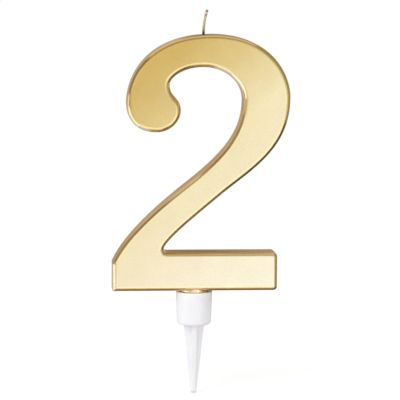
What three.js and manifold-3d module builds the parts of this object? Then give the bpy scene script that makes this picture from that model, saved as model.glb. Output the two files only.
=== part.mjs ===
// Number candle: a moulded wax figure 2 with a gold lacquer finish, its wick cast in, standing on a
// round peg in the cup of a white plastic cake pick.
//
// Millimetres, +Z up. The origin is on the pick's axis at the underside of its cup, which is where
// the surface of the cake lies. The figure reads from the -Y side, with its bar's middle at x = 0.

import * as THREE from 'three';
import { mergeVertices } from 'three/addons/utils/BufferGeometryUtils.js';
import Module from 'manifold-3d';

const wasm = await Module();
wasm.setup();

// Wax figure: heights are from the underside of its bar, drops are from the top of its arch
const figureHeight = 73;
const figureThickness = 9;
const edgeRadius = 1.5;

const barLength = 47.2;
const barHeight = 10.95;
const barTopCornerRadius = 1.3;
const barLowerCornerRadius = 1.1;
const toeHeight = 8;
const toeSlope = 64.4;

const crotchInset = 13.95;
const crotchSlope = 64;
const crotchRadius = 1.1;

const stemSlope = 40.4;
const stemWidth = 8.45;
const stemMiddleX = 3.8;
const stemMiddleHeight = 30.2;

const bowlOverhang = 3.25;
const bowlWidth = 13.3;
const bowlDrop = 17.8;
const innerBowlDrop = 18.75;

const archWidth = 9.15;
const archTopX = 4.8;
const innerArchTopX = 2.1;

const hookInset = 4.05;
const hookDrop = 19.4;
const hookFootReach = 8.65;
const hookFootDrop = 27.6;
const hookWidth = 15.25;
const hookLipDrop = 21.3;
const notchWidth = 12.05;
const notchDrop = 14.15;

// How full each curve of the outline is: how far its two handles reach, as shares of the way
// between its ends, first at the end that is met first on the way round
const fullness = {
  outerStem: [0.17, 0.36],
  outerBowl: [0.35, 0.53],
  outerShoulder: [0.36, 0.76],
  outerArch: [0.8, 0.34],
  hookOutside: [0.54, 0.74],
  hookInside: [0.49, 0.57],
  notchSide: [0.48, 0.48],
  innerArch: [0.43, 0.57],
  innerShoulder: [0.46, 0.62],
  innerBowl: [0.4, 0.45],
  innerStem: [0.19, 0.36],
};

// Peg under the bar, cast in one with the figure
const pegDiameter = 8.2;
const pegTaper = 0.3;
const pegEndChamfer = 0.5;

// Wick: a stiff waxed braid, laid along the middle of the stroke before the wax is poured
const wickDiameter = 0.85;
const wickExitX = 2.2;
const wickStandOut = 6.8;
const wickMiddleLean = 0.25;
const wickTipLean = 1;
const wickElbowRadius = 2.4;
const wickTail = 12;
const wickClearance = 0.15;

// Pick: a cup that holds the peg, with a cross-shaped spike that goes into the cake
const cupHeight = 9.6;
const cupWall = 1;
const cupTaper = 0.5;
const cupFloor = 1;
const cupFootRadius = 1;
const cupRimRadius = 0.2;
const spikeLength = 20.2;
const spikeRootWidth = 6.1;
const spikeRootRib = 1.6;
const spikeTipWidth = 1.8;
const spikeTipRib = 1.1;

// Fits between the figure and the pick
const barAboveRim = 0.6;
const pegSideClearance = 0.15;
const pegEndClearance = 0.2;

// How far a cut runs past what it cuts
const cutOverrun = 0.5;

// Fineness of the round surfaces
const curveSteps = 9;
const edgeSteps = 4;
const cornerSteps = 4;
const roundSides = 48;
const tipSides = 16;
const wickSides = 8;
const wickSteps = 56;
const mergeDistance = 1e-5;

const barLeft = -barLength / 2;
const barRight = barLength / 2;
const figureBase = cupHeight + barAboveRim;
const up = new THREE.Vector2(0, 1);
const right = new THREE.Vector2(1, 0);

function heading(degrees) {
  const angle = THREE.MathUtils.degToRad(degrees);
  return new THREE.Vector2(Math.cos(angle), Math.sin(angle));
}

function along(start, direction, distance) {
  return start.clone().addScaledVector(direction, distance);
}

// A curve that leaves start and meets end in the given directions. The shares say how far its handles
// reach, each measured along its own direction.
function bend(start, startDirection, end, endDirection, [startShare, endShare]) {
  const way = end.clone().sub(start);
  const startHandle = along(start, startDirection, startShare * Math.abs(way.dot(startDirection)));
  const endHandle = along(end, endDirection, -endShare * Math.abs(way.dot(endDirection)));
  return new THREE.CubicBezierCurve(start, startHandle, endHandle, end);
}

// The places where the outline is upright, level or straight, and the curves between them
function figureCurves() {
  const stemDirection = heading(stemSlope);
  const stemMiddle = new THREE.Vector2(stemMiddleX, stemMiddleHeight);
  const acrossStem = new THREE.Vector2(stemDirection.y, -stemDirection.x);
  const stemRight = along(stemMiddle, acrossStem, stemWidth / 2);
  const stemLeft = along(stemMiddle, acrossStem, -stemWidth / 2);

  const bowlRight = new THREE.Vector2(barRight + bowlOverhang, figureHeight - bowlDrop);
  const bowlInner = new THREE.Vector2(bowlRight.x - bowlWidth, figureHeight - innerBowlDrop);
  const archTop = new THREE.Vector2(archTopX, figureHeight);
  const archInner = new THREE.Vector2(innerArchTopX, figureHeight - archWidth);

  const hookX = barLeft + hookInset;
  const hookLeft = new THREE.Vector2(hookX, figureHeight - hookDrop);
  const hookFoot = new THREE.Vector2(hookX + hookFootReach, figureHeight - hookFootDrop);
  const hookLip = new THREE.Vector2(hookX + hookWidth, figureHeight - hookLipDrop);
  const notch = new THREE.Vector2(hookX + notchWidth, figureHeight - notchDrop);
  const toe = new THREE.Vector2(barLeft, toeHeight);

  const crotch = new THREE.Vector2(barLeft + crotchInset, barHeight);
  const crotchDirection = heading(crotchSlope);
  const crotchReach = crotchRadius / Math.tan(THREE.MathUtils.degToRad(crotchSlope / 2));
  const crotchTop = along(crotch, crotchDirection, crotchReach);
  const down = up.clone().negate();
  const left = right.clone().negate();
  const stemDown = stemDirection.clone().negate();

  return {
    crotch,
    crotchReach,
    stemMiddle,
    stemDirection,
    outerStem: bend(crotchTop, crotchDirection, stemRight, stemDirection, fullness.outerStem),
    outerBowl: bend(stemRight, stemDirection, bowlRight, up, fullness.outerBowl),
    outerShoulder: bend(bowlRight, up, archTop, left, fullness.outerShoulder),
    outerArch: bend(archTop, left, hookLeft, down, fullness.outerArch),
    hookOutside: bend(hookLeft, down, hookFoot, right, fullness.hookOutside),
    hookInside: bend(hookFoot, right, hookLip, up, fullness.hookInside),
    notchSide: bend(hookLip, up, notch, up, fullness.notchSide),
    innerArch: bend(notch, up, archInner, right, fullness.innerArch),
    innerShoulder: bend(archInner, right, bowlInner, down, fullness.innerShoulder),
    innerBowl: bend(bowlInner, down, stemLeft, stemDown, fullness.innerBowl),
    innerStem: bend(stemLeft, stemDown, toe, heading(toeSlope).negate(), fullness.innerStem),
  };
}

// The outline of the figure at its fullest, counterclockwise from the bar's lower left corner, with
// the bar's corners square
function figureOutline(curves) {
  const { crotch, crotchReach } = curves;
  const outline = new THREE.Shape();
  outline.moveTo(barLeft, 0);
  outline.lineTo(barRight, 0);
  outline.lineTo(barRight, barHeight);
  outline.absarc(
    crotch.x + crotchReach, barHeight + crotchRadius, crotchRadius,
    -Math.PI / 2, THREE.MathUtils.degToRad(crotchSlope) + Math.PI / 2, true,
  );
  outline.add(curves.outerStem);
  outline.add(curves.outerBowl);
  outline.add(curves.outerShoulder);
  outline.add(curves.outerArch);
  outline.add(curves.hookOutside);
  outline.add(curves.hookInside);
  outline.add(curves.notchSide);
  outline.add(curves.innerArch);
  outline.add(curves.innerShoulder);
  outline.add(curves.innerBowl);
  outline.add(curves.innerStem);
  return outline;
}

// A closed solid from a geometry: shared vertices merged, triangles without area left out
function toSolid(geometry) {
  geometry.deleteAttribute('normal');
  geometry.deleteAttribute('uv');
  const merged = mergeVertices(geometry, mergeDistance);
  const corners = merged.index.array;
  const triVerts = [];
  for (let i = 0; i < corners.length; i += 3) {
    const [a, b, c] = [corners[i], corners[i + 1], corners[i + 2]];
    if (a !== b && b !== c && c !== a) {
      triVerts.push(a, b, c);
    }
  }
  return new wasm.Manifold(new wasm.Mesh({
    numProp: 3,
    vertProperties: new Float32Array(merged.attributes.position.array),
    triVerts: new Uint32Array(triVerts),
  }));
}

function toGeometry(solid) {
  const mesh = solid.getMesh();
  const geometry = new THREE.BufferGeometry();
  geometry.setAttribute('position', new THREE.BufferAttribute(mesh.vertProperties, 3));
  geometry.setIndex(new THREE.BufferAttribute(mesh.triVerts, 1));
  const flat = geometry.toNonIndexed();
  flat.computeVertexNormals();
  return flat;
}

// A solid of revolution about Z from its profile, given as pairs of radius and height
function turned(profile) {
  const points = profile.map(([radius, height]) => new THREE.Vector2(radius, height));
  return toSolid(new THREE.LatheGeometry(points, roundSides).rotateX(Math.PI / 2));
}

// Points of a quarter round in a profile, about a centre, between two angles in degrees
function quarterRound(centreRadius, centreHeight, radius, startAngle, endAngle) {
  return Array.from({ length: cornerSteps + 1 }, (_, step) => {
    const angle = startAngle + (endAngle - startAngle) * step / cornerSteps;
    const direction = heading(angle);
    return [centreRadius + radius * direction.x, centreHeight + radius * direction.y];
  });
}

// A shape drawn in the figure's plane as a solid of some depth, centred on that plane
function standing(shape, depth, edges) {
  const extruded = new THREE.ExtrudeGeometry(shape, { depth, curveSegments: curveSteps, ...edges });
  return toSolid(extruded.rotateX(Math.PI / 2).translate(0, depth / 2, 0));
}

// What rounding off one of the bar's right corners takes away: side is 1 at the top, -1 below
function cornerWaste(cornerHeight, side, radius) {
  const x = barRight - radius;
  const height = cornerHeight - side * radius;
  const reach = radius + cutOverrun;
  const waste = new THREE.Shape();
  waste.moveTo(x, height + side * reach);
  waste.absarc(x, height, radius, side * Math.PI / 2, 0, side > 0);
  waste.lineTo(x + reach, height);
  waste.lineTo(x + reach, height + side * reach);
  return standing(waste, figureThickness + 2 * cutOverrun, { bevelEnabled: false });
}

// The figure's body: straight walls between rounded front and back edges
function figureBody(outline) {
  const body = standing(outline, figureThickness - 2 * edgeRadius, {
    bevelThickness: edgeRadius,
    bevelSize: edgeRadius,
    bevelOffset: -edgeRadius,
    bevelSegments: edgeSteps,
  });
  return body
    .subtract(cornerWaste(barHeight, 1, barTopCornerRadius))
    .subtract(cornerWaste(0, -1, barLowerCornerRadius));
}

// The peg runs from inside the bar down to just above the cup's floor, a little slimmer at its end
function peg() {
  const bottom = cupFloor + pegEndClearance - figureBase;
  const topRadius = pegDiameter / 2;
  const endRadius = topRadius - pegTaper / 2;
  return turned([
    [0, bottom],
    [endRadius - pegEndChamfer, bottom],
    [endRadius, bottom + pegEndChamfer],
    [topRadius, 0],
    [topRadius, edgeRadius],
    [0, edgeRadius],
  ]);
}

// The wick's line: in from above, round an elbow, then down the middle of the stroke
function wickLine(curves) {
  const { stemMiddle, stemDirection } = curves;
  const midway = (outerPoint, innerPoint) => outerPoint.clone().lerp(innerPoint, 0.5);
  const strokeMiddle = figureHeight - archWidth / 2;
  const line = [
    new THREE.Vector2(wickExitX + wickTipLean, figureHeight + wickStandOut),
    new THREE.Vector2(wickExitX + wickMiddleLean, figureHeight + wickStandOut / 2),
    new THREE.Vector2(wickExitX, figureHeight),
    new THREE.Vector2(wickExitX, strokeMiddle + wickElbowRadius),
    new THREE.Vector2(wickExitX + wickElbowRadius, strokeMiddle),
    midway(curves.outerShoulder.getPoint(0.5), curves.innerShoulder.getPoint(0.5)),
    midway(curves.outerShoulder.v0, curves.innerShoulder.v3),
    midway(curves.outerBowl.getPoint(0.5), curves.innerBowl.getPoint(0.5)),
    stemMiddle,
    along(stemMiddle, stemDirection, -wickTail),
  ];
  return new THREE.CatmullRomCurve3(line.map((point) => new THREE.Vector3(point.x, 0, point.y)));
}

function roundTube(line, diameter) {
  const section = new THREE.Shape();
  section.absarc(0, 0, diameter / 2, 0, 2 * Math.PI);
  return toSolid(new THREE.ExtrudeGeometry(section, {
    steps: wickSteps,
    curveSegments: wickSides / 2,
    extrudePath: line,
  }));
}

// The cup, turned in one piece with its floor: bore and outside narrow towards the foot alike
function cup() {
  const boreTopRadius = pegDiameter / 2 + pegSideClearance;
  const boreEndRadius = boreTopRadius - pegTaper / 2;
  const rimRadius = boreTopRadius + cupWall;
  const footRadius = rimRadius - cupTaper / 2;
  return turned([
    [0, 0],
    ...quarterRound(footRadius - cupFootRadius, cupFootRadius, cupFootRadius, -90, 0),
    ...quarterRound(rimRadius - cupRimRadius, cupHeight - cupRimRadius, cupRimRadius, 0, 90),
    [boreTopRadius, cupHeight],
    [boreEndRadius, cupFloor],
    [0, cupFloor],
  ]);
}

// One blade of the cross: a flat bar that narrows and thins from the cup's floor to the tip
function spikeBlade() {
  const tipHeight = spikeTipWidth / 2 - spikeLength;
  const rootHeight = cupFloor / 2;
  const blade = new THREE.BoxGeometry(1, 1, 1);
  const corners = blade.attributes.position;
  for (let i = 0; i < corners.count; i += 1) {
    const atRoot = corners.getZ(i) > 0;
    const width = atRoot ? spikeRootWidth : spikeTipWidth;
    const rib = atRoot ? spikeRootRib : spikeTipRib;
    corners.setXYZ(i, corners.getX(i) * width, corners.getY(i) * rib, atRoot ? rootHeight : tipHeight);
  }
  return blade;
}

function spike() {
  const tipRadius = spikeTipWidth / 2;
  const tip = new THREE.SphereGeometry(tipRadius, tipSides, tipSides / 2).rotateX(Math.PI / 2);
  return toSolid(spikeBlade())
    .add(toSolid(spikeBlade().rotateZ(Math.PI / 2)))
    .add(toSolid(tip.translate(0, 0, tipRadius - spikeLength)));
}

function piece(name, solid, material) {
  const mesh = new THREE.Mesh(toGeometry(solid), material);
  mesh.name = name;
  return mesh;
}

const goldLacquer = new THREE.MeshStandardMaterial({ color: 0xe0c68a, metalness: 1, roughness: 0.38 });
const cotton = new THREE.MeshStandardMaterial({ color: 0xd8c8a0, metalness: 0, roughness: 0.9 });
const whitePlastic = new THREE.MeshStandardMaterial({ color: 0xf2f2f0, metalness: 0, roughness: 0.35 });

const curves = figureCurves();
const wickPath = wickLine(curves);
const wickBore = roundTube(wickPath, wickDiameter + 2 * wickClearance);
const figure = figureBody(figureOutline(curves)).add(peg()).subtract(wickBore);

const candle = new THREE.Group();
candle.position.z = figureBase;
candle.add(piece('wax_numeral', figure, goldLacquer));
candle.add(piece('wick', roundTube(wickPath, wickDiameter), cotton));

const numberCandle = new THREE.Group();
numberCandle.add(piece('pick', cup().add(spike()), whitePlastic));
numberCandle.add(candle);

export default numberCandle;
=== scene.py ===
# Number candle: a moulded wax figure 2 with a gold lacquer, its braided wick, and the white plastic
# pick whose cup holds the figure's peg.
#
# Metres, +Z up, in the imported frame: the origin is on the pick's axis at the underside of its cup, and
# the figure reads from the -Y side.
import math

import bmesh
import bpy
from mathutils import Matrix, Vector


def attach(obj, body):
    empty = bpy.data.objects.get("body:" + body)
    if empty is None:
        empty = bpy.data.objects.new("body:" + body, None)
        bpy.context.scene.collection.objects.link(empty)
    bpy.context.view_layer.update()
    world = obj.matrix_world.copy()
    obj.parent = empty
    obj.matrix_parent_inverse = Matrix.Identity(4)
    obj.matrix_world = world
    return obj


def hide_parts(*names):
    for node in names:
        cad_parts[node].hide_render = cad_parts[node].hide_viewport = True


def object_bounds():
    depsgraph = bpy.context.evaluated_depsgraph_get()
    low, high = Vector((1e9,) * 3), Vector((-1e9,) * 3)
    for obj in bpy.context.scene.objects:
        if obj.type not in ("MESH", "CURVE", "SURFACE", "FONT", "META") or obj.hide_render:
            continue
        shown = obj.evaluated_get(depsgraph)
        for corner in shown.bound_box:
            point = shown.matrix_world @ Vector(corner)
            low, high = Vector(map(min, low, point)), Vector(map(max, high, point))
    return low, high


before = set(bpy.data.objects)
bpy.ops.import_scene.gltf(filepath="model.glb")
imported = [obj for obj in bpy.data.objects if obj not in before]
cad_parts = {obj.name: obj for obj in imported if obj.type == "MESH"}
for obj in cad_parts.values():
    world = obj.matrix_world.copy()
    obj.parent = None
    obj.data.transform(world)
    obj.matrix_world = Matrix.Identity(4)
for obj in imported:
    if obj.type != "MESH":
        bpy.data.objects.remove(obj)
cad_low, cad_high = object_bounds()

MM = 0.001

# Points closer than this are one point
merge_distance = 1e-7

# Wax figure: heights are from the underside of its bar, drops are from the top of its arch
figure_height = 73 * MM
figure_thickness = 9 * MM
edge_radius = 1.5 * MM
bar_length = 47.2 * MM
bar_height = 10.95 * MM
bar_top_corner_radius = 1.3 * MM
bar_lower_corner_radius = 1.1 * MM
bar_left_corner_radius = 0.35 * MM
toe_height = 8 * MM
toe_slope = 64.4
crotch_inset = 13.95 * MM
crotch_slope = 64
crotch_radius = 1.1 * MM
stem_slope = 40.4
stem_width = 8.45 * MM
stem_middle_x = 3.8 * MM
stem_middle_height = 30.2 * MM
bowl_overhang = 3.25 * MM
bowl_width = 13.3 * MM
bowl_drop = 17.8 * MM
inner_bowl_drop = 18.75 * MM
arch_width = 9.15 * MM
arch_top_x = 4.8 * MM
inner_arch_top_x = 2.1 * MM
hook_inset = 4.05 * MM
hook_drop = 19.4 * MM
hook_foot_reach = 8.65 * MM
hook_foot_drop = 27.6 * MM
hook_width = 15.25 * MM
hook_lip_drop = 21.3 * MM
notch_width = 12.05 * MM
notch_drop = 14.15 * MM

# How full each curve of the outline is: how far its two handles reach, as shares of the way between
# its ends, first at the end that is met first on the way round
fullness = {
    "outer_stem": (0.17, 0.36),
    "outer_bowl": (0.35, 0.53),
    "outer_shoulder": (0.36, 0.76),
    "outer_arch": (0.8, 0.34),
    "hook_outside": (0.54, 0.74),
    "hook_inside": (0.49, 0.57),
    "notch_side": (0.48, 0.48),
    "inner_arch": (0.43, 0.57),
    "inner_shoulder": (0.46, 0.62),
    "inner_bowl": (0.4, 0.45),
    "inner_stem": (0.19, 0.36),
}

# Mould's parting line, a faint ridge along the middle of the walls
parting_ridge_height = 0.03 * MM
parting_ridge_width = 0.3 * MM

# Peg under the bar
peg_diameter = 8.2 * MM
peg_taper = 0.3 * MM
peg_end_chamfer = 0.5 * MM

# Wick: three stretches show above the arch, and the rest is cast in
wick_diameter = 0.85 * MM
wick_exit_x = 2.2 * MM
wick_stand_out = 6.8 * MM
wick_middle_lean = 0.25 * MM
wick_tip_lean = 1 * MM
wick_elbow_radius = 2.4 * MM
wick_tail = 12 * MM
wick_clearance = 0.15 * MM
strand_radius = 0.125 * MM
strand_swing = 0.055 * MM
braid_turn = 2.6 * MM
strands_each_way = 4

# Pick
cup_height = 9.6 * MM
cup_wall = 1 * MM
cup_taper = 0.5 * MM
cup_floor = 1 * MM
cup_foot_radius = 1 * MM
cup_rim_radius = 0.2 * MM
spike_length = 20.2 * MM
spike_root_width = 6.1 * MM
spike_root_rib = 1.6 * MM
spike_tip_width = 1.8 * MM
spike_tip_rib = 1.1 * MM
spike_edge_radius = 0.18 * MM
spike_root_fillet = 0.35 * MM

# Fits between the figure and the pick
bar_above_rim = 0.6 * MM
peg_side_clearance = 0.15 * MM
peg_end_clearance = 0.2 * MM

figure_base = cup_height + bar_above_rim
half_thickness = figure_thickness / 2
half_flat = half_thickness - edge_radius
bar_left = -bar_length / 2
bar_right = bar_length / 2


# Outline of the figure


def heading(degrees):
    angle = math.radians(degrees)
    return Vector((math.cos(angle), math.sin(angle)))


def outward(direction):
    """The outward normal of an outline that is followed counterclockwise."""
    return Vector((direction.y, -direction.x))


class Station:
    """A point of the outline, with where it goes when the outline is drawn in. Within reach it goes
    along its normal. Past that, a rounded corner has shrunk to a point, which follows the mitre."""

    def __init__(self, point, normal, reach=math.inf, mitre=None):
        self.point = point
        self.normal = normal
        self.reach = reach
        self.mitre = mitre

    def drawn_in(self, distance):
        if distance <= self.reach:
            return self.point - self.normal * distance
        return self.point - self.normal * self.reach - self.mitre * (distance - self.reach)


def bend(start, start_direction, end, end_direction, shares):
    """A curve as its four control points, which leaves start and meets end in the given directions."""
    way = end - start
    start_handle = start + start_direction * shares[0] * abs(way.dot(start_direction))
    end_handle = end - end_direction * shares[1] * abs(way.dot(end_direction))
    return start, start_handle, end_handle, end


def bend_point(curve, t):
    a, b, c, d = curve
    s = 1 - t
    return a * s**3 + b * 3 * s * s * t + c * 3 * s * t * t + d * t**3


def bend_direction(curve, t):
    a, b, c, d = curve
    s = 1 - t
    return ((b - a) * s * s + (c - b) * 2 * s * t + (d - c) * t * t).normalized()


def curve_stations(curve, steps=40):
    """Stations along a curve, without its end, where the next one starts."""
    shares = [step / steps for step in range(steps)]
    return [Station(bend_point(curve, t), outward(bend_direction(curve, t))) for t in shares]


def corner_stations(corner, direction_in, direction_out, radius, steps=10):
    """Stations round a corner where two stretches meet, rounded outwards or filled inwards."""
    normal_in, normal_out = outward(direction_in), outward(direction_out)
    mitre = (normal_in + normal_out) / (1 + normal_in.dot(normal_out))
    turn = math.atan2(direction_in.cross(direction_out), direction_in.dot(direction_out))
    side = 1 if turn > 0 else -1
    centre = corner - mitre * radius * side
    stations = []
    for step in range(steps + 1):
        normal = Matrix.Rotation(turn * step / steps, 2) @ normal_in
        reach = radius if side > 0 else math.inf
        stations.append(Station(centre + normal * radius * side, normal, reach, mitre))
    return stations


def figure_curves():
    """The places where the outline is upright, level or straight, and the curves between them."""
    right, up = Vector((1, 0)), Vector((0, 1))
    stem_direction = heading(stem_slope)
    stem_middle = Vector((stem_middle_x, stem_middle_height))
    across_stem = outward(stem_direction) * stem_width / 2
    stem_right, stem_left = stem_middle + across_stem, stem_middle - across_stem

    bowl_right = Vector((bar_right + bowl_overhang, figure_height - bowl_drop))
    bowl_inner = Vector((bowl_right.x - bowl_width, figure_height - inner_bowl_drop))
    arch_top = Vector((arch_top_x, figure_height))
    arch_inner = Vector((inner_arch_top_x, figure_height - arch_width))

    hook_x = bar_left + hook_inset
    hook_left = Vector((hook_x, figure_height - hook_drop))
    hook_foot = Vector((hook_x + hook_foot_reach, figure_height - hook_foot_drop))
    hook_lip = Vector((hook_x + hook_width, figure_height - hook_lip_drop))
    notch = Vector((hook_x + notch_width, figure_height - notch_drop))
    toe = Vector((bar_left, toe_height))

    crotch = Vector((bar_left + crotch_inset, bar_height))
    crotch_direction = heading(crotch_slope)
    crotch_reach = crotch_radius / math.tan(math.radians(crotch_slope / 2))
    crotch_top = crotch + crotch_direction * crotch_reach

    ends = {
        "outer_stem": (crotch_top, crotch_direction, stem_right, stem_direction),
        "outer_bowl": (stem_right, stem_direction, bowl_right, up),
        "outer_shoulder": (bowl_right, up, arch_top, -right),
        "outer_arch": (arch_top, -right, hook_left, -up),
        "hook_outside": (hook_left, -up, hook_foot, right),
        "hook_inside": (hook_foot, right, hook_lip, up),
        "notch_side": (hook_lip, up, notch, up),
        "inner_arch": (notch, up, arch_inner, right),
        "inner_shoulder": (arch_inner, right, bowl_inner, -up),
        "inner_bowl": (bowl_inner, -up, stem_left, -stem_direction),
        "inner_stem": (stem_left, -stem_direction, toe, -heading(toe_slope)),
    }
    curves = {name: bend(*places, fullness[name]) for name, places in ends.items()}
    return curves, crotch, crotch_direction, toe, stem_middle, stem_direction


def figure_stations():
    """The outline at its fullest, counterclockwise from the bar's lower left corner."""
    curves, crotch, crotch_direction, toe, _, _ = figure_curves()
    right, up = Vector((1, 0)), Vector((0, 1))
    lower_left, lower_right = Vector((bar_left, 0)), Vector((bar_right, 0))
    top_right = Vector((bar_right, bar_height))
    stations = [
        *corner_stations(lower_left, -up, right, bar_left_corner_radius),
        *corner_stations(lower_right, right, up, bar_lower_corner_radius),
        *corner_stations(top_right, up, -right, bar_top_corner_radius),
        *corner_stations(crotch, -right, crotch_direction, crotch_radius)[:-1],
    ]
    for name in fullness:
        stations += curve_stations(curves[name])
    stations += corner_stations(toe, -heading(toe_slope), -up, bar_left_corner_radius)
    return stations


# Mesh helpers


def new_object(name, mesh):
    piece = bpy.data.objects.new(name, mesh)
    bpy.context.scene.collection.objects.link(piece)
    return piece


def finished_mesh(name, shape):
    """The bmesh as a mesh, with collapsed points merged and its faces pointing out."""
    bmesh.ops.remove_doubles(shape, verts=shape.verts, dist=merge_distance)
    bmesh.ops.recalc_face_normals(shape, faces=shape.faces)
    mesh = bpy.data.meshes.new(name)
    shape.to_mesh(mesh)
    shape.free()
    return mesh


def stacked_rings(name, rings):
    """A closed solid skinned over rings of equally many points, flat at its two ends."""
    shape = bmesh.new()
    rows = [[shape.verts.new(point) for point in ring] for ring in rings]
    for lower, upper in zip(rows, rows[1:]):
        for index, vertex in enumerate(lower):
            shape.faces.new((vertex, lower[index - 1], upper[index - 1], upper[index]))
    shape.faces.new(rows[0])
    shape.faces.new(rows[-1])
    return finished_mesh(name, shape)


def turned(name, profile, sides=128):
    """A solid of revolution about Z. Its profile is pairs of radius and height, and starts and ends
    on the axis."""
    rings = []
    for radius, height in profile:
        angles = [2 * math.pi * side / sides for side in range(sides)]
        rings.append([Vector((radius * math.cos(a), radius * math.sin(a), height)) for a in angles])
    return stacked_rings(name, rings)


def quarter_round(centre_radius, centre_height, radius, start, end, steps=10):
    """Points of a quarter round in a profile, between two angles in degrees."""
    points = []
    for step in range(steps + 1):
        direction = heading(start + (end - start) * step / steps) * radius
        points.append((centre_radius + direction.x, centre_height + direction.y))
    return points


def combined(base, other, operation):
    """Joins other to base or cuts it out of base, and leaves base with the resulting mesh."""
    change = base.modifiers.new("change", "BOOLEAN")
    change.operation = operation
    change.solver = "EXACT"
    change.object = other
    evaluated = base.evaluated_get(bpy.context.evaluated_depsgraph_get())
    shape = bmesh.new()
    shape.from_mesh(evaluated.to_mesh())
    evaluated.to_mesh_clear()
    bmesh.ops.dissolve_degenerate(shape, edges=shape.edges, dist=merge_distance)
    base.modifiers.remove(change)
    base.data = finished_mesh(base.data.name, shape)
    bpy.data.objects.remove(other)


def smooth(piece, sharp_angle):
    """Smooth shading with sharp edges past an angle, and flat faces kept flat."""
    piece.data.shade_smooth()
    piece.data.set_sharp_from_angle(angle=math.radians(sharp_angle))
    weighted = piece.modifiers.new("weighted normals", "WEIGHTED_NORMAL")
    weighted.keep_sharp = True


def place(piece, body, node, slot, material):
    piece.data.materials.clear()
    piece.data.materials.append(material)
    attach(piece, body)
    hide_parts(node)


# Wax figure with its peg


def figure_levels(edge_steps=12):
    """How far the outline is drawn in and how far back it lies, from the front face to the back."""
    front = []
    for step in range(edge_steps + 1):
        angle = math.pi / 2 * step / edge_steps
        front.append((edge_radius * (1 - math.sin(angle)), -half_flat - edge_radius * math.cos(angle)))
    front.append((0, -parting_ridge_width / 2))
    back = [(distance, -depth) for distance, depth in reversed(front)]
    return [*front, (-parting_ridge_height, 0), *back]


def figure_mesh():
    stations = figure_stations()
    rings = []
    for distance, depth in figure_levels():
        places = [station.drawn_in(distance) for station in stations]
        rings.append([Vector((p.x, depth, figure_base + p.y)) for p in places])
    return stacked_rings("wax_numeral_body", rings)


def peg_mesh():
    bottom = cup_floor + peg_end_clearance
    top_radius = peg_diameter / 2
    end_radius = top_radius - peg_taper / 2
    profile = [
        (0, bottom),
        (end_radius - peg_end_chamfer, bottom),
        (end_radius, bottom + peg_end_chamfer),
        (top_radius, figure_base),
        (top_radius, figure_base + edge_radius),
        (0, figure_base + edge_radius),
    ]
    return turned("peg", profile)


# Wick


def wick_points():
    """The wick's line in the figure's plane: in from above, round an elbow, down the stroke."""
    curves, _, _, _, stem_middle, stem_direction = figure_curves()
    stroke_middle = figure_height - arch_width / 2

    def midway(outer, inner):
        return (outer + inner) / 2

    line = [
        Vector((wick_exit_x + wick_tip_lean, figure_height + wick_stand_out)),
        Vector((wick_exit_x + wick_middle_lean, figure_height + wick_stand_out / 2)),
        Vector((wick_exit_x, figure_height)),
        Vector((wick_exit_x, stroke_middle + wick_elbow_radius)),
        Vector((wick_exit_x + wick_elbow_radius, stroke_middle)),
        midway(
            bend_point(curves["outer_shoulder"], 0.5), bend_point(curves["inner_shoulder"], 0.5)
        ),
        midway(curves["outer_shoulder"][0], curves["inner_shoulder"][3]),
        midway(bend_point(curves["outer_bowl"], 0.5), bend_point(curves["inner_bowl"], 0.5)),
        stem_middle,
        stem_middle - stem_direction * wick_tail,
    ]
    return [Vector((point.x, 0, figure_base + point.y)) for point in line]


def smooth_line(points, spacing):
    """Points at about the given spacing on a centripetal curve through the given ones."""
    ends = [points[0] * 2 - points[1], *points, points[-1] * 2 - points[-2]]
    line = []
    for p0, p1, p2, p3 in zip(ends, ends[1:], ends[2:], ends[3:]):
        t1 = math.sqrt((p1 - p0).length)
        t2 = t1 + math.sqrt((p2 - p1).length)
        t3 = t2 + math.sqrt((p3 - p2).length)
        steps = max(2, round((p2 - p1).length / spacing))
        for step in range(steps):
            t = t1 + (t2 - t1) * step / steps
            a1 = p0 * ((t1 - t) / t1) + p1 * (t / t1)
            a2 = p1 * ((t2 - t) / (t2 - t1)) + p2 * ((t - t1) / (t2 - t1))
            a3 = p2 * ((t3 - t) / (t3 - t2)) + p3 * ((t - t2) / (t3 - t2))
            b1 = a1 * ((t2 - t) / t2) + a2 * (t / t2)
            b2 = a2 * ((t3 - t) / (t3 - t1)) + a3 * ((t - t1) / (t3 - t1))
            line.append(b1 * ((t2 - t) / (t2 - t1)) + b2 * ((t - t1) / (t2 - t1)))
    line.append(points[-1])
    return line


def tube(name, line, radius, sides):
    """A closed tube along a line."""
    rings = []
    for index, centre in enumerate(line):
        before, after = line[max(index - 1, 0)], line[min(index + 1, len(line) - 1)]
        direction = (after - before).normalized()
        across = direction.cross(Vector((0, 1, 0))).normalized()
        third = direction.cross(across)
        angles = [2 * math.pi * side / sides for side in range(sides)]
        rings.append([centre + (across * math.cos(a) + third * math.sin(a)) * radius for a in angles])
    return stacked_rings(name, rings)


def braid_strands(line):
    """The centrelines of a round braid along a line: half of its strands turn one way and half the
    other, and each passes over and under the ones that it crosses."""
    middle_radius = wick_diameter / 2 - strand_radius - strand_swing
    turns = 2 * math.pi / braid_turn
    strands = []
    for way in (1, -1):
        for start in range(strands_each_way):
            strand = []
            length = 0
            for index, centre in enumerate(line):
                before, after = line[max(index - 1, 0)], line[min(index + 1, len(line) - 1)]
                direction = (after - before).normalized()
                across = direction.cross(Vector((0, 1, 0))).normalized()
                third = direction.cross(across)
                if index:
                    length += (centre - line[index - 1]).length
                angle = 2 * math.pi * start / strands_each_way + way * turns * length
                weave = math.cos(strands_each_way * turns * length)
                reach = middle_radius + way * strand_swing * weave
                strand.append(centre + (across * math.cos(angle) + third * math.sin(angle)) * reach)
            strands.append(strand)
    return strands


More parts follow.
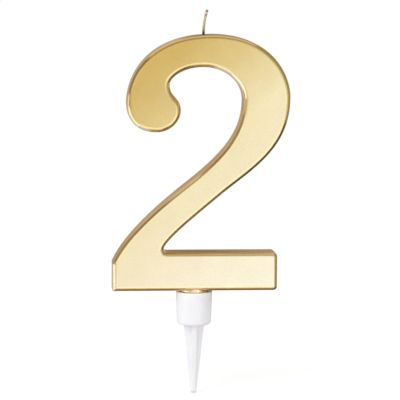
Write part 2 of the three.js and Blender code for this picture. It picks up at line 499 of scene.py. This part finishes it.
def wick_mesh():
    """The braid as one mesh, with each strand a closed tube of its own."""
    shape = bmesh.new()
    line = smooth_line(wick_points(), spacing=0.13 * MM)
    for strand in braid_strands(line):
        mesh = tube("strand", strand, strand_radius, sides=7)
        shape.from_mesh(mesh)
        bpy.data.meshes.remove(mesh)
    mesh = bpy.data.meshes.new("wick_braid")
    shape.to_mesh(mesh)
    shape.free()
    return mesh


# Pick


def cup_mesh():
    bore_top_radius = peg_diameter / 2 + peg_side_clearance
    bore_end_radius = bore_top_radius - peg_taper / 2
    rim_radius = bore_top_radius + cup_wall
    foot_radius = rim_radius - cup_taper / 2
    profile = [
        (0, 0),
        *quarter_round(foot_radius - cup_foot_radius, cup_foot_radius, cup_foot_radius, -90, 0),
        *quarter_round(rim_radius - cup_rim_radius, cup_height - cup_rim_radius, cup_rim_radius, 0, 90),
        (bore_top_radius, cup_height),
        (bore_end_radius, cup_floor),
        (0, cup_floor),
    ]
    return turned("cup", profile)


def cross_section(width, rib):
    """The outline of a cross of two bars, with rounded ends and filled inner corners."""
    arm, half = width / 2, rib / 2
    fillet = min(spike_root_fillet, (arm - half) / 2)
    fullest_edge = 0.6 * half
    edge = min(spike_edge_radius, fullest_edge)
    right, up = Vector((1, 0)), Vector((0, 1))
    outline = []
    for quarter in range(4):
        turn = Matrix.Rotation(math.pi / 2 * quarter, 2)
        corners = [
            *corner_stations(Vector((arm, -half)), right, up, edge, steps=4),
            *corner_stations(Vector((arm, half)), up, -right, edge, steps=4),
            *corner_stations(Vector((half, half)), -right, up, fillet, steps=4),
        ]
        outline += [turn @ station.point for station in corners]
    return outline


def spike_mesh(levels=24, tip_steps=8):
    """The spike from inside the cup's floor down to its rounded tip."""
    root_height = cup_floor / 2
    tip_radius = spike_tip_width / 2
    tip_height = tip_radius - spike_length
    rings = []
    for level in range(levels + 1):
        share = level / levels
        height = root_height + (tip_height - root_height) * share
        width = spike_root_width + (spike_tip_width - spike_root_width) * share
        rib = spike_root_rib + (spike_tip_rib - spike_root_rib) * share
        rings.append([Vector((p.x, p.y, height)) for p in cross_section(width, rib)])
    last = rings[-1]
    for step in range(1, tip_steps):
        angle = math.pi / 2 * step / tip_steps
        size, drop = math.cos(angle), tip_radius * math.sin(angle)
        rings.append([Vector((p.x * size, p.y * size, tip_height - drop)) for p in last])
    return stacked_rings("spike", rings)


# Materials

white = (1, 1, 1)


def new_material(name):
    material = bpy.data.materials.new(name)
    material.use_nodes = True
    nodes, links = material.node_tree.nodes, material.node_tree.links
    return material, nodes, links, nodes["Principled BSDF"]


def noise(nodes, links, coordinates, scale, detail=2.0):
    texture = nodes.new("ShaderNodeTexNoise")
    texture.inputs["Scale"].default_value = scale
    texture.inputs["Detail"].default_value = detail
    links.new(coordinates, texture.inputs["Vector"])
    return texture.outputs["Fac"]


def ramp(nodes, links, value, stops):
    """A colour ramp over a value from 0 to 1, from pairs of place and linear colour."""
    node = nodes.new("ShaderNodeValToRGB")
    elements = node.color_ramp.elements
    while len(elements) < len(stops):
        elements.new(0.5)
    for element, (position, colour) in zip(elements, stops):
        element.position = position
        element.color = (*colour, 1)
    links.new(value, node.inputs["Fac"])
    return node.outputs["Color"]


def mapped(nodes, links, value, low, high, to_low=0.0, to_high=1.0):
    node = nodes.new("ShaderNodeMapRange")
    node.inputs["From Min"].default_value = low
    node.inputs["From Max"].default_value = high
    node.inputs["To Min"].default_value = to_low
    node.inputs["To Max"].default_value = to_high
    links.new(value, node.inputs["Value"])
    return node.outputs["Result"]


def maths(nodes, links, operation, first, second=None):
    node = nodes.new("ShaderNodeMath")
    node.operation = operation
    for socket, value in zip(node.inputs, (first, second)):
        if isinstance(value, (int, float)):
            socket.default_value = value
        elif value is not None:
            links.new(value, socket)
    return node.outputs["Value"]


def mixed(nodes, links, share, first, second, blend="MIX"):
    """Two colours mixed. A colour is a socket or a linear colour."""
    node = nodes.new("ShaderNodeMix")
    node.data_type = "RGBA"
    node.blend_type = blend
    if isinstance(share, (int, float)):
        node.inputs["Factor"].default_value = share
    else:
        links.new(share, node.inputs["Factor"])
    for socket, colour in zip((node.inputs[6], node.inputs[7]), (first, second)):
        if isinstance(colour, tuple):
            socket.default_value = (*colour, 1)
        else:
            links.new(colour, socket)
    return node.outputs[2]


def bump(nodes, links, height, distance, strength, below=None):
    node = nodes.new("ShaderNodeBump")
    node.inputs["Distance"].default_value = distance
    node.inputs["Strength"].default_value = strength
    links.new(height, node.inputs["Height"])
    if below is not None:
        links.new(below, node.inputs["Normal"])
    return node.outputs["Normal"]


def linear(red, green, blue):
    """A colour as seen on a screen, 0 to 255, in linear light."""
    return tuple(
        value / 3294.6 if value <= 10.31 else ((value / 255 + 0.055) / 1.055) ** 2.4
        for value in (red, green, blue)
    )


def along(nodes, links, vector, direction):
    """How far a vector reaches along a direction in the figure's plane, given as its X and Z."""
    parts = nodes.new("ShaderNodeSeparateXYZ")
    links.new(vector, parts.inputs["Vector"])
    across = maths(nodes, links, "MULTIPLY", parts.outputs["X"], direction[0])
    upward = maths(nodes, links, "MULTIPLY", parts.outputs["Z"], direction[1])
    return maths(nodes, links, "ADD", across, upward)


def gold_lacquer():
    """Metallic lacquer sprayed on wax, with a fine flake. Light is painted into its colour: a painted
    reflection from deep gold at the upper left of the figure to pale at the lower right, painted
    highlights on the edges that turn that way, and painted shade that browns the walls."""
    material, nodes, links, shader = new_material("gold_lacquered_wax")
    coordinates = nodes.new("ShaderNodeTexCoord")
    place_in_piece = coordinates.outputs["Object"]
    parts = nodes.new("ShaderNodeSeparateXYZ")
    links.new(place_in_piece, parts.inputs["Vector"])

    # Painted reflection across the figure: deep gold at its upper left, pale at its lower right
    fade_direction = (0.65, -0.76)
    fade_start, fade_end = -62.8 * MM, 3.4 * MM
    painted_reflection_stops = [
        (0.0, linear(215, 184, 110)),
        (0.18, linear(228, 204, 141)),
        (0.4, linear(245, 231, 187)),
        (0.62, linear(247, 233, 199)),
        (0.8, linear(251, 240, 213)),
        (1.0, linear(252, 245, 220)),
    ]
    diagonal = along(nodes, links, place_in_piece, fade_direction)
    painted_reflection_share = mapped(nodes, links, diagonal, fade_start, fade_end)
    face = ramp(nodes, links, painted_reflection_share, painted_reflection_stops)

    # Painted highlight on the edges that start to turn to the lower right, by how far the normal leans
    edge_direction = (0.7, -0.7)
    edge_start, edge_end = 0.015, 0.1
    painted_highlight_colour = linear(253, 236, 186)
    painted_highlight_strength = 0.65
    lean = along(nodes, links, coordinates.outputs["Normal"], edge_direction)
    edge = mapped(nodes, links, lean, edge_start, edge_end, 0, painted_highlight_strength)
    face = mixed(nodes, links, edge, face, painted_highlight_colour)

    # Painted shade: a browner colour on the walls, from a little behind the faces
    wall_start, wall_end = 0.08 * MM, 0.32 * MM
    wall_shade_colour = (0.93, 0.7, 0.41)
    wall_shade_share = 0.8
    depth = maths(nodes, links, "ABSOLUTE", parts.outputs["Y"])
    wall = mapped(nodes, links, depth, half_thickness - wall_start, half_thickness - wall_end)
    painted_wall_shade = mixed(nodes, links, wall_shade_share, face, wall_shade_colour)
    lacquer = mixed(nodes, links, wall, face, painted_wall_shade)

    # Flake and haze in the colour
    flake_scale, haze_scale, swell_scale = 2600, 160, 90
    flake = noise(nodes, links, place_in_piece, flake_scale, 3)
    clouds = noise(nodes, links, place_in_piece, haze_scale, 3)
    grain = ramp(nodes, links, flake, [(0.3, (0.93, 0.93, 0.92)), (0.7, white)])
    haze = ramp(nodes, links, clouds, [(0.3, (0.96, 0.955, 0.94)), (0.7, white)])
    lacquer = mixed(nodes, links, 1.0, lacquer, grain, "MULTIPLY")
    lacquer = mixed(nodes, links, 1.0, lacquer, haze, "MULTIPLY")
    links.new(lacquer, shader.inputs["Base Color"])

    # Gloss, a slow swell of the wax and the fine peel of the flake
    face_roughness, wall_roughness = 0.28, 0.16
    roughness = mapped(nodes, links, wall, 0, 1, face_roughness, wall_roughness)
    links.new(roughness, shader.inputs["Roughness"])
    wax_swell = noise(nodes, links, place_in_piece, swell_scale, 1)
    swell = bump(nodes, links, wax_swell, distance=0.2 * MM, strength=0.25)
    peel = bump(nodes, links, flake, distance=0.01 * MM, strength=0.25, below=swell)
    links.new(peel, shader.inputs["Normal"])
    shader.inputs["Metallic"].default_value = 1.0
    shader.inputs["Specular Tint"].default_value = (0.55, 0.43, 0.3, 1)
    return material


def waxed_cotton():
    """Cotton strands stiffened with wax, darker at the foot, where it leaves the wax, and in two rings
    near the tip."""
    material, nodes, links, shader = new_material("cotton_wick")
    place_in_piece = nodes.new("ShaderNodeTexCoord").outputs["Object"]
    parts = nodes.new("ShaderNodeSeparateXYZ")
    links.new(place_in_piece, parts.inputs["Vector"])
    exit_height = figure_base + figure_height
    up_wick = mapped(nodes, links, parts.outputs["Z"], exit_height, exit_height + wick_stand_out)
    pale, dark = linear(232, 216, 182), linear(150, 132, 100)
    stops = [
        (0.06, linear(78, 62, 30)),
        (0.14, linear(156, 138, 96)),
        (0.3, linear(212, 194, 154)),
        (0.72, pale),
        (0.79, dark),
        (0.85, pale),
        (0.91, pale),
        (0.96, dark),
    ]
    along_wick = ramp(nodes, links, up_wick, stops)
    fibre_scale = 9000
    fibres = noise(nodes, links, place_in_piece, fibre_scale)
    tone = ramp(nodes, links, fibres, [(0.3, (0.78, 0.76, 0.7)), (0.7, white)])
    colour = mixed(nodes, links, 1.0, along_wick, tone, "MULTIPLY")
    links.new(colour, shader.inputs["Base Color"])
    fibre_bump = bump(nodes, links, fibres, distance=0.02 * MM, strength=0.4)
    links.new(fibre_bump, shader.inputs["Normal"])
    shader.inputs["Roughness"].default_value = 0.6
    return material


def white_plastic():
    """Semi-gloss moulded polypropylene, a little translucent, with a faint mould texture."""
    material, nodes, links, shader = new_material("white_plastic")
    place_in_piece = nodes.new("ShaderNodeTexCoord").outputs["Object"]
    cloud_scale, texture_scale = 220, 3000
    clouds = noise(nodes, links, place_in_piece, cloud_scale)
    tones = [(0.3, linear(245, 243, 247)), (0.7, linear(250, 249, 251))]
    links.new(ramp(nodes, links, clouds, tones), shader.inputs["Base Color"])
    fine = noise(nodes, links, place_in_piece, texture_scale)
    links.new(mapped(nodes, links, fine, 0.3, 0.7, 0.32, 0.4), shader.inputs["Roughness"])
    fine_bump = bump(nodes, links, fine, distance=0.01 * MM, strength=0.2)
    links.new(fine_bump, shader.inputs["Normal"])
    shader.inputs["Subsurface Weight"].default_value = 0.15
    shader.inputs["Subsurface Radius"].default_value = (1, 0.9, 0.8)
    shader.inputs["Subsurface Scale"].default_value = 1 * MM
    shader.inputs["IOR"].default_value = 1.49
    return material


# Pieces

gold = gold_lacquer()
cotton = waxed_cotton()
plastic = white_plastic()

wax_numeral = new_object("numeral", figure_mesh())
combined(wax_numeral, new_object("peg", peg_mesh()), "UNION")
bore_line = smooth_line(wick_points(), spacing=1 * MM)
bore = tube("bore", bore_line, wick_diameter / 2 + wick_clearance, sides=24)
combined(wax_numeral, new_object("bore", bore), "DIFFERENCE")
smooth(wax_numeral, sharp_angle=12)
place(wax_numeral, "candle", "wax_numeral", "gold_lacquered_wax", gold)

wick = new_object("braided_wick", wick_mesh())
smooth(wick, sharp_angle=60)
place(wick, "candle", "wick", "cotton_wick", cotton)

cake_pick = new_object("cake_pick", cup_mesh())
combined(cake_pick, new_object("spike", spike_mesh()), "UNION")
smooth(cake_pick, sharp_angle=30)
place(cake_pick, "pick", "pick", "white_plastic", plastic)


# Studio: background, floor, lamp, and a tent of panels that only reflections see


def seen_rays(nodes, links):
    """1 for rays that show a thing as it is: from the camera, in a reflection, or through glass."""
    path = nodes.new("ShaderNodeLightPath")
    seen = maths(nodes, links, "MAXIMUM", path.outputs["Is Camera Ray"], path.outputs["Is Glossy Ray"])
    return maths(nodes, links, "MAXIMUM", seen, path.outputs["Is Transmission Ray"])


def background():
    """White where the camera or a reflection looks past the object, and plain soft light elsewhere."""
    world = bpy.data.worlds.new("studio")
    bpy.context.scene.world = world
    world.use_nodes = True
    nodes, links = world.node_tree.nodes, world.node_tree.links
    strength = mapped(nodes, links, seen_rays(nodes, links), 0, 1, world_light, 1.0)
    links.new(strength, nodes["Background"].inputs["Strength"])
    nodes["Background"].inputs["Color"].default_value = (*white, 1)


def floor():
    """A pale floor under the spike's tip. What is seen of it is lifted to white, less the shadow."""
    level = cad_low.z
    sides = [(-1, -1), (1, -1), (1, 1), (-1, 1)]
    mesh = bpy.data.meshes.new("floor")
    mesh.from_pydata([(x * floor_reach, y * floor_reach, level) for x, y in sides], [], [(0, 1, 2, 3)])
    ground = new_object("floor", mesh)
    ground.visible_glossy = False
    material, nodes, links, shader = new_material("pale_floor")
    shader.inputs["Base Color"].default_value = (0.75, 0.75, 0.75, 1)
    shader.inputs["Roughness"].default_value = 1.0
    shader.inputs["Specular IOR Level"].default_value = 0.0
    shader.inputs["Emission Color"].default_value = (*white, 1)
    lift = mapped(nodes, links, seen_rays(nodes, links), 0, 1, 0, floor_lift)
    links.new(lift, shader.inputs["Emission Strength"])
    ground.data.materials.append(material)


def lamp(name, position, aim, size, power):
    light = bpy.data.lights.new(name, "AREA")
    light.shape = "DISK"
    light.size = size
    light.energy = power
    lamp_object = bpy.data.objects.new(name, light)
    lamp_object.location = position
    lamp_object.rotation_euler = (Vector(aim) - Vector(position)).to_track_quat("-Z", "Y").to_euler()
    lamp_object.visible_glossy = False
    bpy.context.scene.collection.objects.link(lamp_object)


def tent_panel(name, start, end, tones, steps=36):
    """One panel of a round tent, from in front of the object to behind it, that shows in reflections
    and nowhere else. It lies between two angles round the line of sight: 0 is right and 90 is up. Its
    tones are a level and a tint at angles from the front, 0, to the back, 180."""
    rows = []
    for step in range(steps + 1):
        away = math.pi * step / steps
        row = []
        for side in (start, (start + end) / 2, end):
            across = heading(side) * math.sin(away)
            row.append((across.x * tent_radius, -math.cos(away) * tent_radius, across.y * tent_radius))
        rows.append(row)
    faces = []
    for step in range(steps):
        for side in range(2):
            first = step * 3 + side
            faces.append((first, first + 1, first + 4, first + 3))
    mesh = bpy.data.meshes.new(name)
    mesh.from_pydata([place for row in rows for place in row], [], faces)
    sheet = new_object(name, mesh)
    sheet.visible_camera = False
    sheet.visible_diffuse = False
    sheet.visible_shadow = False
    sheet.visible_transmission = False

    material, nodes, links, shader = new_material(name)
    shader.inputs["Base Color"].default_value = (0, 0, 0, 1)
    shader.inputs["Specular IOR Level"].default_value = 0.0
    parts = nodes.new("ShaderNodeSeparateXYZ")
    links.new(nodes.new("ShaderNodeTexCoord").outputs["Object"], parts.inputs["Vector"])
    back = mapped(nodes, links, parts.outputs["Y"], -tent_radius, tent_radius)
    stops = []
    all_tones = [(0, tent_front_level, white), *tones, (180, tent_back_level, white)]
    for angle, level, tint in all_tones:
        place_in_ramp = (1 - math.cos(math.radians(angle))) / 2
        stops.append((place_in_ramp, tuple(level * part for part in tint)))
    links.new(ramp(nodes, links, back, stops), shader.inputs["Emission Color"])
    shader.inputs["Emission Strength"].default_value = 1
    mesh.materials.append(material)


world_light = 0.95
floor_lift = 0.29
floor_reach = 6
tent_radius = 0.9
tent_front_level = 1.05
tent_back_level = 0.87

cool = (0.86, 1, 1.2)
warm = (1, 0.9, 0.68)
olive = (1, 0.93, 0.55)
amber = (1, 0.8, 0.42)
copper = (1, 0.57, 0.25)

# Tones of the two panels straight above, which differ towards the back
tones_above = [
    (22, 1.3, white), (34, 0.95, white), (46, 0.68, white), (57, 0.32, olive), (70, 0.6, warm),
    (86, 0.92, warm), (105, 0.62, warm),
]

# Panels of the tent: from where to where each lies, and its tones from front to back
tent_panels = {
    "tent_right": (-15, 15, [
        (20, 1.4, white), (35, 0.9, white), (45, 0.46, warm), (57, 0.9, warm),
        (71, 0.35, olive), (112, 0.36, warm), (145, 0.85, warm),
    ]),
    "tent_upper_right": (15, 58, [
        (15, 1.2, white), (25, 0.8, white), (48, 0.66, olive), (62, 0.37, olive), (95, 0.36, olive),
        (110, 0.3, olive), (145, 0.8, warm),
    ]),
    "tent_upper": (58, 76, [*tones_above, (150, 0.48, warm), (170, 0.42, warm)]),
    "tent_top": (76, 100, [*tones_above, (152, 0.6, warm), (168, 1.0, white)]),
    "tent_top_left": (100, 130, [
        (18, 1.2, white), (28, 1.15, white), (38, 0.85, olive), (50, 0.5, amber), (62, 0.45, amber),
        (86, 0.8, warm), (110, 0.8, white),
    ]),
    "tent_upper_left": (130, 142, [
        (32, 1.35, white), (44, 1.05, white), (57, 0.5, olive), (68, 0.2, amber), (95, 0.3, amber),
        (120, 0.58, warm), (165, 1.02, white),
    ]),
    "tent_high_left": (142, 170, [
        (35, 1.25, white), (53, 1.2, white), (66, 0.54, olive), (77, 0.33, amber), (105, 0.35, amber),
        (140, 0.56, warm), (162, 1.05, white),
    ]),
    "tent_left": (170, 186, [
        (18, 1.15, white), (32, 0.78, olive), (48, 0.6, olive), (64, 0.4, amber), (78, 0.8, warm),
        (88, 1.25, cool), (105, 1.05, white), (150, 0.8, warm), (170, 0.75, warm),
    ]),
    "tent_low_left": (186, 202, [
        (16, 1.05, white), (27, 0.72, olive), (46, 0.8, olive), (58, 1.2, white), (67, 1.75, cool),
        (84, 1.6, cool), (115, 1.0, white),
    ]),
    "tent_lower_left": (202, 238, [
        (28, 0.9, white), (40, 1.1, white), (54, 1.75, cool), (72, 1.55, cool), (95, 1.1, cool),
        (120, 0.95, cool),
    ]),
    "tent_below_left": (238, 262, [
        (30, 1.3, white), (45, 1.35, cool), (58, 1.3, cool), (68, 0.85, cool), (110, 0.75, cool),
    ]),
    "tent_below": (262, 276, [
        (28, 1.4, white), (42, 1.05, olive), (57, 0.58, amber), (70, 0.38, copper), (85, 0.36, copper),
        (120, 0.25, copper),
    ]),
    "tent_below_middle": (276, 288, [
        (28, 1.4, white), (46, 1.35, white), (60, 0.9, warm), (72, 0.4, copper), (120, 0.2, copper),
    ]),
    "tent_below_right": (288, 303, [
        (32, 1.35, white), (38, 0.6, olive), (43, 0.08, amber), (65, 0.1, amber), (95, 0.17, amber),
        (120, 0.12, amber),
    ]),
    "tent_lower_right": (303, 345, [
        (32, 1.45, white), (46, 1.42, white), (58, 0.72, white), (69, 0.1, olive), (105, 0.06, olive),
        (145, 0.6, warm),
    ]),
}

background()
floor()
lamp("key", position=(-0.5, -0.45, 0.45), aim=(0, 0, 0.03), size=0.5, power=1.4)
for panel_name, (panel_start, panel_end, panel_tones) in tent_panels.items():
    tent_panel(panel_name, panel_start, panel_end, panel_tones)


# Camera: a little left of the figure and above it, and turned about its own line of sight


def camera():
    position = Vector((-44.15, -555, 105.25)) * MM
    aim = Vector((1.55, 0, 35.9)) * MM
    roll = math.radians(0.385)
    image_width = 400
    focal_length = 1963
    data = bpy.data.cameras.new("camera")
    data.sensor_width = 36
    data.lens = data.sensor_width * focal_length / image_width
    data.clip_start = 0.01
    data.clip_end = 50
    eye = bpy.data.objects.new("camera", data)
    sight = (aim - position).to_track_quat("-Z", "Y")
    eye.rotation_mode = "QUATERNION"
    eye.rotation_quaternion = sight @ Matrix.Rotation(roll, 3, "Z").to_quaternion()
    eye.location = position
    bpy.context.scene.collection.objects.link(eye)
    bpy.context.scene.camera = eye


camera()
bpy.context.scene.view_settings.view_transform = "Standard"
